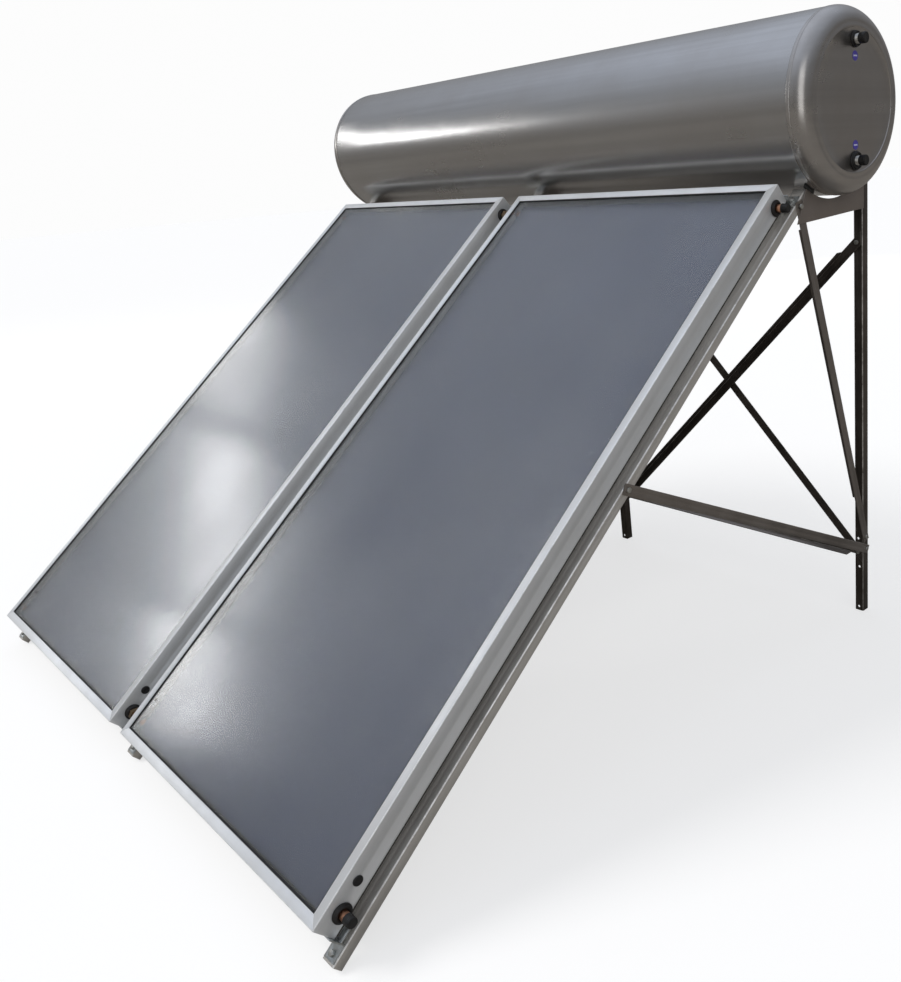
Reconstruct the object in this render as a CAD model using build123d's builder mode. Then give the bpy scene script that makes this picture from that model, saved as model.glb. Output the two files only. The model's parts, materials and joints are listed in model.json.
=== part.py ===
"""Thermosiphon solar water heater: two flat-plate collectors on a sloping stand of steel angle,
with a horizontal insulated storage tank lying across the top.

Frame: X runs along the tank, Y points from the low front edge of the collectors to the rear legs,
Z is up.  The origin is on the ground under the middle of the tank.  All sizes are in millimetres.
"""
from build123d import *
from math import cos, radians, sin, sqrt, tan, degrees, atan2
import os

os.makedirs("parts", exist_ok=True)

# ---------------------------------------------------------------- driving dimensions
# collectors
tilt = 39.5              # slope of the collector faces above the ground, degrees
panel_len = 2100.0       # length of a collector up the slope
panel_wid = 1125.0       # width of a collector
panel_thk = 74.0         # depth of the collector casing
panel_gap = 89.0         # gap between the two casings
row_x = -29.5            # middle of the collector row, measured from the middle of the tank
wall_t = 2.0             # wall of the aluminium casing profile
lip_w = 25.0             # width of the front flange that holds the glass
lip_t = 2.0              # thickness of that flange
ledge_w = 16.0           # inner ledge under the glass
skirt_h = 12.0           # recessed skirt along the foot of the casing walls
skirt_in = 2.0           # how far that skirt is set back
mitre_gap = 0.2          # open joint at the mitred corners
seal_t = 2.0             # rubber above and below the glass
seal_show = 4.0          # rubber visible inside the front flange
seal_clear = 0.5         # rubber to casing wall
glass_t = 3.2
edge_clear = 6.0         # glass edge to the outside of the casing
absorber_h = 29.2        # depth of the absorber's face below the casing face
absorber_t = 1.0
absorber_margin = 28.0   # casing edge to absorber edge
riser_r = 5.0
riser_count = 9
header_r = 11.0          # copper header tube, 22 mm
header_wall = 1.0
header_h = 42.0          # depth of the header axis below the casing face
header_inset = 50.0      # header axis from the casing's end
header_out = 42.0        # header stub past the outer casing wall
header_in = 34.0         # header stub into the gap between the collectors
wool_t = 18.0
back_t = 0.8
grommet_r = 23.0         # outer rubber ring round each header
grommet_t = 9.0
grommet_hole_r = 15.0    # hole in the casing wall
vent_r = 12.0
vent_s = 117.0           # vent plug from the casing's low end
vent_h = 32.0            # vent plug below the casing face
vent_hole_r = 5.0
union_r = 16.0
union_len = 56.0
stub_cap_wall = 1.2
stub_cap_len = 21.0
cap_fit = 0.05           # radial running clearance of every pull-off cap

# tank
tank_r = 250.0           # outside radius of the shell
tank_t = 1.2
tank_past = 311.7        # tank axis past the collectors' top edge, along the slope
tank_rise = 5.0          # tank axis above the plane of the collector faces
tank_overhang = 20.5     # shell end past the outer stand frame, before the row offset
rim_step = 0.9           # end cap laps over the shell
rim_len = 6.0            # straight part of the end cap's rim
rim_depth = 58.0         # shell end to the flat of the end cap
flat_ring = 11.0         # flat ring between the end cap's shoulder and its sunk disc
disc_dip = 2.5
foam_t = 45.0            # shell to inner vessel
vessel_t = 2.5
vessel_inset = 18.0      # vessel end inside the shell end
port_inset = 47.0        # port axis inside the vessel's wall
port_r = 13.2
port_bore_r = 10.0
port_out = 34.0          # nipple past the end cap's flat
collar_r = 27.0          # rubber ring round each lower nipple
collar_high_r = 22.0     # smaller ring round each upper nipple
collar_t = 10.0
port_cap_wall = 1.6
port_cap_len = 19.0
mark_r = 13.0
mark_t = 0.6
mark_gap = 42.0          # coloured mark to port axis

# stand, cold-formed angle
steel_t = 3.0
leg_w = 30.0             # both flanges of the legs, struts and braces
rail_flange = 42.0
rail_web = 26.0
rail_drop = 89.0         # top of the rail below the collector faces
rail_inset = 8.5         # middle of an outer rail inside the casing's outer wall
rail_foot = 48.0         # rail past the collectors' low edge
tank_air = 4.0           # steelwork to the tank shell
leg_back = 172.3         # front face of the rear legs behind the tank axis
strut_s = 1150.0         # strut bolt along the rail
strut_low = 230.6        # strut bolt on the leg, above the ground
brace_past = 19.1        # brace bolt past the collectors' top edge
brace_low = 275.0        # brace bolt on the leg, above the ground
bolt_end = 15.0          # bolt centre to the end of a member
brace_cut = 60.0         # cross brace flange cut back from the bolts
saddle_air = 8.0         # saddle arc to the shell
saddle_deg = 30.1        # front horn of the saddle arc, from straight down
saddle_front = 172.7     # saddle's low front corner ahead of the tank axis
saddle_dip_f = 67.3      # depth of the saddle below the shell, at the front
saddle_dip_r = 49.7      # and at the rear
rise_low = 165.0         # rising cross brace, low bolt above the ground
rise_top = 202.0         # its top bolt below the top of the leg
fall_top = 65.0          # falling cross brace, top bolt below the top of the leg
fall_low = 222.0         # its low bolt above the ground
tie_z = 211.6            # underside of the rear tie
tie_notch = 21.0         # notches in the tie that clear the struts
ledge_len = 30.0         # bracket ledge under a casing's end
ledge_drop = 0.4         # casing to bracket ledge
hook_h = 44.0            # bracket lip, top edge below the collector faces
bracket_base = 42.0
bracket_mid = 150.0      # width of the middle brackets, which hold both casings
bolt_r = 4.0
hole_r = 4.5
hex_af = 13.0
head_t = 5.3
nut_t = 6.5
anchor_z = 14.0          # foot anchor hole above the ground
spare_z = 268.0          # spare hole above the strut

# ---------------------------------------------------------------- derived geometry
ct = cos(radians(tilt))
st = sin(radians(tilt))
half_row = panel_gap / 2 + panel_wid
pitch = half_row - rail_inset                 # spacing of the three stand frames
tank_half = pitch + tank_overhang             # half length of the shell
tank_s = panel_len + tank_past
rail_h = rail_drop + rail_web
base_z = rail_foot * st + rail_h * ct         # height of the casing's low front edge
depth = tank_s * ct - tank_rise * st + tank_r + rim_step
front_y = -depth / 2


def slope_y(s, h):
    return front_y + s * ct - h * st


def slope_z(s, h):
    return base_z + s * st + h * ct


vessel_r = tank_r - foam_t
port_pitch = vessel_r - port_inset
mark_pitch = port_pitch - mark_gap
rim_r = tank_r + rim_step
knee_r = rim_depth - rim_len                  # shoulder radius of the end cap
knee_c = rim_r - knee_r
disc_r = knee_c - flat_ring
tank_y = slope_y(tank_s, tank_rise)
tank_z = slope_z(tank_s, tank_rise)
leg_y = tank_y + leg_back
leg_top = tank_z - sqrt((tank_r + tank_air) ** 2 - leg_back ** 2) - 12.0
rail_top = tank_s - sqrt((tank_r + tank_air) ** 2 - (tank_rise + rail_drop) ** 2)
frames = {"left": row_x + rail_flange / 2 - pitch,
          "mid": row_x + rail_flange / 2,
          "right": row_x + rail_flange / 2 + pitch}

# collector plane: local x along the row, local y up the slope, local z out of the glass
face = Plane(origin=(row_x, front_y, base_z), x_dir=(1, 0, 0), z_dir=(0, -st, ct))
axle = Axis((0, tank_y, tank_z), (1, 0, 0))
tank_plane = Plane(origin=(0, tank_y, tank_z), x_dir=(1, 0, 0), z_dir=(0, -1, 0))


def across(s, x=0.0):
    """Plane square to the slope at s; local x along the row, local y out of the glass, looking down."""
    return Plane(origin=(row_x + x, slope_y(s, 0), slope_z(s, 0)), x_dir=(1, 0, 0), z_dir=(0, -ct, -st))


def end_on(x, s, h, way=1):
    """Plane facing +X or -X, centred on a point given along the slope and out of it."""
    return Plane(origin=(x, slope_y(s, h), slope_z(s, h)), x_dir=(0, way, 0), z_dir=(way, 0, 0))


def end_at(x, y, z, way=1):
    return Plane(origin=(x, y, z), x_dir=(0, way, 0), z_dir=(way, 0, 0))


def save(builder, name):
    builder.part.label = name
    export_step(builder.part, "parts/" + name + ".step")


shelf = lip_t + seal_t + glass_t + seal_t     # underside of the lower glass seal
# casing profile against a wall on the left: wall, front flange, glass ledge, foot flange
casing = (
    (0, 0), (lip_w, 0), (lip_w, -lip_t), (wall_t, -lip_t),
    (wall_t, -shelf), (ledge_w, -shelf), (ledge_w, -shelf - wall_t), (wall_t, -shelf - wall_t),
    (wall_t, skirt_h - panel_thk - wall_t), (wall_t + skirt_in, skirt_h - panel_thk - wall_t),
    (wall_t + skirt_in, wall_t - panel_thk), (ledge_w + 2, wall_t - panel_thk),
    (ledge_w + 2, -panel_thk), (skirt_in, -panel_thk),
    (skirt_in, skirt_h - panel_thk), (0, skirt_h - panel_thk), (0, 0),
)

# ---------------------------------------------------------------- collectors
centres = {"left": -(panel_gap + panel_wid) / 2, "right": (panel_gap + panel_wid) / 2}
for side, cx in centres.items():
    outer = -1 if side == "left" else 1
    x_lo = cx - panel_wid / 2
    x_hi = cx + panel_wid / 2
    stub_lo = header_out if side == "left" else header_in
    stub_hi = header_out if side == "right" else header_in

    # two side profiles, mitred at 45 degrees, with header and vent holes
    for wall, x0, way in (("west", x_lo, 1), ("east", x_hi, -1)):
        with BuildPart() as bar:
            with BuildSketch(across(panel_len, x0)):
                with BuildLine():
                    Polyline(*[(way * u, h) for u, h in casing])
                make_face()
            extrude(amount=panel_len)
            with BuildSketch(face.offset(1)):
                with BuildLine():
                    Polyline(
                        (x0, mitre_gap), (x0 + way * panel_wid / 2, mitre_gap + panel_wid / 2),
                        (x0 + way * panel_wid / 2, panel_len - panel_wid / 2 - mitre_gap),
                        (x0, panel_len - mitre_gap), (x0, mitre_gap),
                    )
                make_face()
            extrude(amount=-panel_thk - 2, mode=Mode.INTERSECT)
            for s in (header_inset, panel_len - header_inset):
                with BuildSketch(end_on(row_x + x0 - 5, s, -header_h)):
                    Circle(grommet_hole_r)
                extrude(amount=10, mode=Mode.SUBTRACT)
            with BuildSketch(end_on(row_x + x0 - 5, vent_s, -vent_h)):
                Circle(vent_hole_r)
            extrude(amount=10, mode=Mode.SUBTRACT)
        save(bar, "panel_" + side + "_frame_" + wall)

    # low and high end profiles
    for wall, s0, way in (("low", 0.0, 1), ("high", panel_len, -1)):
        with BuildPart() as bar:
            with BuildSketch(Plane(origin=(row_x + x_lo, slope_y(s0, 0), slope_z(s0, 0)),
                                   x_dir=(0, ct, st), z_dir=(1, 0, 0))):
                with BuildLine():
                    Polyline(*[(way * u, h) for u, h in casing])
                make_face()
            extrude(amount=panel_wid)
            with BuildSketch(face.offset(1)):
                with BuildLine():
                    Polyline(
                        (x_lo + mitre_gap, s0), (x_hi - mitre_gap, s0),
                        (cx, s0 + way * (panel_wid / 2 - mitre_gap)), (x_lo + mitre_gap, s0),
                    )
                make_face()
            extrude(amount=-panel_thk - 2, mode=Mode.INTERSECT)
        save(bar, "panel_" + side + "_frame_" + wall)

    # glass pane and the rubber that wraps its edge
    with BuildPart() as glass:
        with BuildSketch(face.offset(-lip_t - seal_t)):
            with Locations((cx, panel_len / 2)):
                Rectangle(panel_wid - 2 * edge_clear, panel_len - 2 * edge_clear)
        extrude(amount=-glass_t)
    save(glass, "panel_" + side + "_glass")

    with BuildPart() as seal:
        seal_edge = wall_t + seal_clear
        with BuildSketch(face.offset(-lip_t)):
            with Locations((cx, panel_len / 2)):
                Rectangle(panel_wid - 2 * seal_edge, panel_len - 2 * seal_edge)
                Rectangle(panel_wid - 2 * (lip_w + seal_show), panel_len - 2 * (lip_w + seal_show),
                          mode=Mode.SUBTRACT)
        extrude(amount=-seal_t)
        with BuildSketch(face.offset(-lip_t - seal_t)):
            with Locations((cx, panel_len / 2)):
                Rectangle(panel_wid - 2 * seal_edge, panel_len - 2 * seal_edge)
                Rectangle(panel_wid - 2 * edge_clear, panel_len - 2 * edge_clear, mode=Mode.SUBTRACT)
        extrude(amount=-glass_t)
        with BuildSketch(face.offset(-lip_t - seal_t - glass_t)):
            with Locations((cx, panel_len / 2)):
                Rectangle(panel_wid - 2 * seal_edge, panel_len - 2 * seal_edge)
                Rectangle(panel_wid - 2 * ledge_w, panel_len - 2 * ledge_w, mode=Mode.SUBTRACT)
        extrude(amount=-seal_t)
    save(seal, "panel_" + side + "_seal")

    # absorber sheet over the copper grid
    with BuildPart() as absorber:
        with BuildSketch(face.offset(-absorber_h)):
            with Locations((cx, panel_len / 2)):
                Rectangle(panel_wid - 2 * absorber_margin, panel_len - 2 * absorber_margin)
        extrude(amount=-absorber_t)
    save(absorber, "panel_" + side + "_absorber")

    # header tubes, whose ends stand out of the casing as stubs
    for end, s in (("low", header_inset), ("high", panel_len - header_inset)):
        with BuildPart() as header:
            with BuildSketch(end_on(row_x + x_lo - stub_lo, s, -header_h)):
                Circle(header_r)
                Circle(header_r - header_wall, mode=Mode.SUBTRACT)
            extrude(amount=panel_wid + stub_lo + stub_hi)
        save(header, "panel_" + side + "_header_" + end)

# mineral wool beds and back sheets
trim = wall_t + skirt_in + 1
with BuildPart() as wool:
    for cx in centres.values():
        with BuildSketch(face.offset(-panel_thk + wall_t + back_t)):
            with Locations((cx, panel_len / 2)):
                Rectangle(panel_wid - 2 * trim, panel_len - 2 * trim)
        extrude(amount=panel_thk - wall_t - back_t - header_h - header_r - 0.4)
save(wool, "panel_wool")

with BuildPart() as backs:
    for cx in centres.values():
        with BuildSketch(face.offset(-panel_thk + wall_t)):
            with Locations((cx, panel_len / 2)):
                Rectangle(panel_wid - 2 * trim, panel_len - 2 * trim)
        extrude(amount=back_t)
save(backs, "panel_backs")

# risers between the two headers of each collector
with BuildPart() as risers:
    riser_end = header_inset + header_r + 0.2
    for cx in centres.values():
        pitch_r = (panel_wid - 2 * absorber_margin) / riser_count
        for i in range(riser_count):
            xr = cx + (i - (riser_count - 1) / 2) * pitch_r
            with BuildSketch(Plane(origin=(row_x + xr, slope_y(riser_end, -absorber_h - absorber_t - riser_r),
                                           slope_z(riser_end, -absorber_h - absorber_t - riser_r)),
                                   x_dir=(1, 0, 0), z_dir=(0, ct, st))):
                Circle(riser_r)
                Circle(riser_r - 0.8, mode=Mode.SUBTRACT)
            extrude(amount=panel_len - 2 * riser_end)
save(risers, "absorber_risers")

# one rubber grommet where each header leaves a casing wall
with BuildPart() as grommets:
    for cx in centres.values():
        for way in (-1, 1):
            for s in (header_inset, panel_len - header_inset):
                wall_x = row_x + cx + way * panel_wid / 2
                with BuildSketch(end_on(wall_x, s, -header_h, way)):
                    Circle(grommet_r)
                    Circle(header_r + 0.2, mode=Mode.SUBTRACT)
                extrude(amount=grommet_t, taper=18)
                with BuildSketch(end_on(wall_x, s, -header_h, way)):
                    Circle(grommet_hole_r - 0.2)
                    Circle(header_r + 0.2, mode=Mode.SUBTRACT)
                extrude(amount=-wall_t - 3)
save(grommets, "header_grommets")

# vent plugs low on the side walls
with BuildPart() as vents:
    for cx in centres.values():
        for way in (-1, 1):
            wall_x = row_x + cx + way * panel_wid / 2
            with BuildSketch(end_on(wall_x, vent_s, -vent_h, way)):
                Circle(vent_r)
            extrude(amount=4, taper=25)
            with BuildSketch(end_on(wall_x, vent_s, -vent_h, way)):
                Circle(vent_hole_r - 0.2)
            extrude(amount=-wall_t - 4)
save(vents, "vent_plugs")

# compression unions that join the two collectors across the gap
with BuildPart() as unions:
    for s in (header_inset, panel_len - header_inset):
        with BuildSketch(end_on(row_x - union_len / 2 + 10, s, -header_h)):
            Circle(union_r - 2)
            Circle(header_r + 0.1, mode=Mode.SUBTRACT)
        extrude(amount=union_len - 20)
        for x0 in (-union_len / 2, union_len / 2 - 16):
            with BuildSketch(end_on(row_x + x0, s, -header_h)):
                RegularPolygon(union_r, 6, major_radius=False)
                Circle(header_r + 0.1, mode=Mode.SUBTRACT)
            extrude(amount=16)
save(unions, "header_unions")

# pull-off caps on the four outer stubs
for side, way in (("left", -1), ("right", 1)):
    for end, s in (("low", header_inset), ("high", panel_len - header_inset)):
        wall_x = row_x + way * half_row
        rim = wall_x + way * (header_out + 0.5 + stub_cap_wall - stub_cap_len)
        with BuildPart() as cap:
            with BuildSketch(end_on(rim, s, -header_h, way)):
                Circle(header_r + cap_fit + stub_cap_wall)
            extrude(amount=stub_cap_len)
            fillet(cap.edges().group_by(Axis.X)[-1 if way > 0 else 0], 1.8)
            with BuildSketch(end_on(rim, s, -header_h, way)):
                Circle(header_r + cap_fit)
            extrude(amount=stub_cap_len - stub_cap_wall, mode=Mode.SUBTRACT)
            with BuildSketch(end_on(rim, s, -header_h, way)):
                Circle(header_r + cap_fit + stub_cap_wall + 0.6)
                Circle(header_r + cap_fit + 0.6, mode=Mode.SUBTRACT)
            extrude(amount=3)
        save(cap, "stub_cap_" + side + "_" + end)

# ---------------------------------------------------------------- tank
with BuildPart() as shell:
    with BuildSketch(end_at(-tank_half, tank_y, tank_z)):
        Circle(tank_r)
        Circle(tank_r - tank_t, mode=Mode.SUBTRACT)
    extrude(amount=2 * tank_half)
save(shell, "tank_shell")

for side, way in (("left", -1), ("right", 1)):
    bow = sin(radians(45))
    with BuildPart() as end_cap:
        with BuildSketch(Plane(origin=(way * tank_half, tank_y, tank_z), x_dir=(way, 0, 0),
                               z_dir=(0, -way, 0))):
            with BuildLine():
                Polyline((rim_len, rim_r - tank_t), (0.2, rim_r - tank_t), (0.2, rim_r), (rim_len, rim_r))
                ThreePointArc((rim_len, rim_r), (rim_len + knee_r * bow, knee_c + knee_r * bow),
                              (rim_depth, knee_c))
                Polyline((rim_depth, knee_c), (rim_depth, disc_r), (rim_depth - disc_dip, disc_r - 0.5),
                         (rim_depth - disc_dip, 0), (rim_depth - disc_dip - tank_t, 0),
                         (rim_depth - disc_dip - tank_t, disc_r + 1), (rim_depth - tank_t, disc_r + 1.5),
                         (rim_depth - tank_t, knee_c))
                ThreePointArc((rim_depth - tank_t, knee_c),
                              (rim_len + (knee_r - tank_t) * bow, knee_c + (knee_r - tank_t) * bow),
                              (rim_len, rim_r - tank_t))
            make_face()
        revolve(axis=axle)
        for up in (-1, 1):
            with BuildSketch(end_at(way * (tank_half + rim_depth + 5), tank_y, tank_z + up * port_pitch, -way)):
                Circle(port_r + 0.4)
            extrude(amount=15, mode=Mode.SUBTRACT)
    save(end_cap, "tank_end_cap_" + side)

with BuildPart() as vessel:
    with BuildSketch(end_at(-tank_half + vessel_inset, tank_y, tank_z)):
        Circle(vessel_r)
    extrude(amount=2 * (tank_half - vessel_inset))
    with BuildSketch(end_at(-tank_half + vessel_inset + vessel_t, tank_y, tank_z)):
        Circle(vessel_r - vessel_t)
    extrude(amount=2 * (tank_half - vessel_inset - vessel_t), mode=Mode.SUBTRACT)
    for up in (-1, 1):
        with BuildSketch(end_at(-tank_half, tank_y, tank_z + up * port_pitch)):
            Circle(port_bore_r)
        extrude(amount=2 * tank_half, mode=Mode.SUBTRACT)
save(vessel, "tank_inner_vessel")

with BuildPart() as foam:
    with BuildSketch(end_at(-tank_half + 1, tank_y, tank_z)):
        Circle(tank_r - tank_t - 0.3)
    extrude(amount=2 * (tank_half - 1))
    with BuildSketch(end_at(-tank_half + vessel_inset - 0.2, tank_y, tank_z)):
        Circle(vessel_r + 0.2)
    extrude(amount=2 * (tank_half - vessel_inset + 0.2), mode=Mode.SUBTRACT)
    for up in (-1, 1):
        with BuildSketch(end_at(-tank_half - 5, tank_y, tank_z + up * port_pitch)):
            Circle(port_r + 0.2)
        extrude(amount=2 * tank_half + 10, mode=Mode.SUBTRACT)
save(foam, "tank_foam")

flat_x = tank_half + rim_depth - disc_dip
with BuildPart() as nipples:
    for way in (-1, 1):
        for up in (-1, 1):
            with BuildSketch(end_at(way * (tank_half - vessel_inset), tank_y, tank_z + up * port_pitch, way)):
                Circle(port_r)
                Circle(port_bore_r, mode=Mode.SUBTRACT)
            extrude(amount=flat_x + port_out - tank_half + vessel_inset)
save(nipples, "tank_port_nipples")

with BuildPart() as collars:
    for way in (-1, 1):
        for up in (-1, 1):
            with BuildSketch(end_at(way * flat_x, tank_y, tank_z + up * port_pitch, way)):
                Circle(collar_high_r if up > 0 else collar_r)
                Circle(port_r + 0.2, mode=Mode.SUBTRACT)
            extrude(amount=collar_t, taper=12)
save(collars, "tank_port_collars")

with BuildPart() as marks:
    for way in (-1, 1):
        for up in (-1, 1):
            with BuildSketch(end_at(way * flat_x, tank_y, tank_z + up * mark_pitch, way)):
                Circle(mark_r)
            extrude(amount=mark_t)
save(marks, "tank_port_marks")

for side, way in (("left", -1), ("right", 1)):
    for end, up in (("low", -1), ("high", 1)):
        rim = way * (flat_x + port_out + 0.5 + port_cap_wall - port_cap_len)
        with BuildPart() as cap:
            with BuildSketch(end_at(rim, tank_y, tank_z + up * port_pitch, way)):
                Circle(port_r + cap_fit + port_cap_wall)
            extrude(amount=port_cap_len)
            fillet(cap.edges().group_by(Axis.X)[-1 if way > 0 else 0], 2.0)
            with BuildSketch(end_at(rim, tank_y, tank_z + up * port_pitch, way)):
                Circle(port_r + cap_fit)
            extrude(amount=port_cap_len - port_cap_wall, mode=Mode.SUBTRACT)
        save(cap, "port_cap_" + side + "_" + end)

# ---------------------------------------------------------------- stand
mid_h = -rail_drop - rail_web / 2             # bolt line of the rail web
leg_mid = leg_w / 2                           # bolt line of the leg flanges
top_s = panel_len + 28.0                      # bolt of the top bracket
foot_s = 28.0                                 # bolt of the foot bracket, down from the low edge
strut_a = (slope_y(strut_s, mid_h), slope_z(strut_s, mid_h))
strut_b = (leg_y + leg_mid, strut_low)
brace_a = (slope_y(panel_len + brace_past, mid_h), slope_z(panel_len + brace_past, mid_h))
brace_b = (leg_y + leg_mid - 2.5, brace_low)


def along(x, a, b):
    """Plane facing +X with its origin on bolt a and its local x towards bolt b."""
    turn = atan2(b[1] - a[1], b[0] - a[0])
    return Plane(origin=(x, a[0], a[1]), x_dir=(0, cos(turn), sin(turn)), z_dir=(1, 0, 0))


def span(a, b):
    return sqrt((b[0] - a[0]) ** 2 + (b[1] - a[1]) ** 2)


for side, xf in frames.items():
    # sloping rail
    with BuildPart() as rail:
        with BuildSketch(across(rail_top, xf - row_x)):
            with BuildLine():
                Polyline((0, -rail_drop), (0, -rail_h), (-steel_t, -rail_h), (-steel_t, -rail_drop - steel_t),
                         (-rail_flange, -rail_drop - steel_t), (-rail_flange, -rail_drop), (0, -rail_drop))
            make_face()
        extrude(amount=rail_top + rail_foot)
        for s in (strut_s, panel_len + brace_past):
            with BuildSketch(end_on(xf - 5, s, mid_h)):
                Circle(hole_r)
            extrude(amount=10, mode=Mode.SUBTRACT)
        with BuildSketch(face.offset(-rail_drop + 1)):
            with Locations((xf - row_x - rail_flange / 2, -foot_s), (xf - row_x - rail_flange / 2, top_s)):
                Circle(hole_r)
        extrude(amount=-5, mode=Mode.SUBTRACT)
    save(rail, "rail_" + side)

    # rear leg, corner to the front and outside
    with BuildPart() as leg:
        with BuildSketch(Plane.XY):
            with BuildLine():
                Polyline((xf - leg_w, leg_y), (xf, leg_y), (xf, leg_y + leg_w), (xf - steel_t, leg_y + leg_w),
                         (xf - steel_t, leg_y + steel_t), (xf - leg_w, leg_y + steel_t), (xf - leg_w, leg_y))
            make_face()
        extrude(amount=leg_top)
        for y, z in (strut_b, brace_b):
            with BuildSketch(end_at(xf - 5, y, z)):
                Circle(hole_r)
            extrude(amount=10, mode=Mode.SUBTRACT)
        with BuildSketch(Plane.XZ.offset(-leg_y - 5)):
            with Locations((xf - leg_mid, leg_top - fall_top), (xf - leg_mid, leg_top - rise_top),
                           (xf - leg_mid, fall_low), (xf - leg_mid, rise_low),
                           (xf - leg_mid - 2, anchor_z), (xf - leg_mid - 4, spare_z)):
                Circle(hole_r)
        extrude(amount=8, mode=Mode.SUBTRACT)
    save(leg, "rear_leg_" + side)

    # saddle plate with an arc under the tank and a rear flange against the leg
    with BuildPart() as saddle:
        arc_r = tank_r + saddle_air
        horn = (tank_y - arc_r * sin(radians(saddle_deg)), tank_z - arc_r * cos(radians(saddle_deg)))
        back_top = (leg_y, tank_z - sqrt(arc_r ** 2 - leg_back ** 2))
        with BuildSketch(Plane.YZ.offset(xf + steel_t)):
            with BuildLine():
                ThreePointArc(horn, (tank_y, tank_z - arc_r), back_top)
                Polyline(back_top, (leg_y, tank_z - tank_r - saddle_dip_r),
                         (tank_y - saddle_front, tank_z - tank_r - saddle_dip_f), horn)
            make_face()
            with Locations((brace_a[0], brace_a[1])):
                Circle(hole_r, mode=Mode.SUBTRACT)
        extrude(amount=steel_t)
        with BuildSketch(Plane.XY.offset(tank_z - tank_r - saddle_dip_r)):
            with Locations((xf + 2 * steel_t - (leg_w + steel_t) / 2, leg_y - steel_t / 2)):
                Rectangle(leg_w + steel_t, steel_t)
        extrude(amount=back_top[1] - 6 - (tank_z - tank_r - saddle_dip_r))
        with BuildSketch(Plane.XZ.offset(-leg_y - 2)):
            with Locations((xf - leg_mid, leg_top - fall_top)):
                Circle(hole_r)
        extrude(amount=6, mode=Mode.SUBTRACT)
        if side != "right":
            # relief in the web where the falling cross brace starts
            with BuildSketch(Plane.YZ.offset(xf + steel_t - 1)):
                with Locations((leg_y - steel_t - 2.5, leg_top - fall_top - 30)):
                    Rectangle(5, 70)
            extrude(amount=steel_t + 2, mode=Mode.SUBTRACT)
    save(saddle, "saddle_" + side)

# angles in the side frames: web on the outside, flange turned inwards along one edge
side_bars = {
    "side_struts": (strut_a, strut_b, 1, 70, 55),
    "side_braces": (brace_a, brace_b, 1, 75, 150),
}
for name, (a, b, edge, cut_a, cut_b) in side_bars.items():
    with BuildPart() as bars:
        for xf in frames.values():
            with BuildSketch(along(xf, a, b)):
                with Locations((span(a, b) / 2, 0)):
                    Rectangle(span(a, b) + 2 * bolt_end, leg_w)
                with Locations((0, 0), (span(a, b), 0)):
                    Circle(hole_r, mode=Mode.SUBTRACT)
            extrude(amount=steel_t)
            with BuildSketch(along(xf, a, b)):
                with Locations(((cut_a + span(a, b) - cut_b) / 2, edge * (leg_w - steel_t) / 2)):
                    Rectangle(span(a, b) - cut_a - cut_b, steel_t)
            extrude(amount=-leg_w + steel_t)
    save(bars, name)

bays = ((frames["left"], frames["mid"]), (frames["mid"], frames["right"]))
# angles across the back between two legs: the rising ones lie in front and turn their flange
# forward along the upper edge, the falling ones lie behind and turn it back along the lower edge
cross_bars = {
    "cross_brace_rising": (rise_low, leg_top - rise_top, 2, 1, 1),
    "cross_brace_falling": (leg_top - fall_top, fall_low, 1, -1, -1),
}
for name, (za, zb, layer, turned, edge_way) in cross_bars.items():
    with BuildPart() as bars:
        for xa, xb in bays:
            slope = (zb - za) / (xb - xa)
            turn = atan2(zb - za, xb - xa)
            half = leg_w / 2 / cos(turn)
            x_lo = xa - leg_w + 1
            x_hi = xb - 1
            z_lo = za + slope * (x_lo - xa + leg_mid)
            z_hi = za + slope * (x_hi - xa + leg_mid)
            with BuildSketch(Plane.XZ.offset(layer * steel_t - leg_y)):
                with BuildLine():
                    Polyline((x_lo, z_lo + half), (x_hi, z_hi + half), (x_hi, z_hi - half),
                             (x_lo, z_lo - half), (x_lo, z_lo + half))
                make_face()
                with Locations((xa - leg_mid, za), (xb - leg_mid, zb)):
                    Circle(hole_r, mode=Mode.SUBTRACT)
            extrude(amount=steel_t)
            run = span((xa, za), (xb, zb))
            edge = Plane(origin=(xa - leg_mid, leg_y - layer * steel_t, za),
                         x_dir=(cos(turn), 0, sin(turn)), z_dir=(0, -1, 0))
            with BuildSketch(edge if turned > 0 else edge.offset(steel_t)):
                with Locations((run / 2, edge_way * (leg_w - steel_t) / 2)):
                    Rectangle(run - 2 * brace_cut, steel_t)
            extrude(amount=turned * leg_w)
    save(bars, name)

# tie along the foot of the rear legs, with its flange cut back at the legs
with BuildPart() as tie:
    tie_lo = frames["left"] - leg_w + 1
    tie_hi = frames["right"] - 1
    with BuildSketch(Plane.XZ.offset(-leg_y)):
        with Locations(((tie_lo + tie_hi) / 2, tie_z + leg_w / 2)):
            Rectangle(tie_hi - tie_lo, leg_w)
        with Locations(*[(xf - leg_mid, fall_low) for xf in frames.values()]):
            Circle(hole_r, mode=Mode.SUBTRACT)
        # notches over the side struts
        with Locations(*[(xa + steel_t / 2, tie_z + leg_w) for xa, xb in bays]):
            Rectangle(steel_t + 1, 2 * tie_notch, mode=Mode.SUBTRACT)
    extrude(amount=steel_t)
    for xa, xb in bays:
        with BuildSketch(Plane.XY.offset(tie_z)):
            with Locations(((xa + 68 + xb - 46) / 2, leg_y - leg_w / 2)):
                Rectangle(xb - xa - 114, leg_w)
        extrude(amount=steel_t)
save(tie, "rear_tie")

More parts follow.
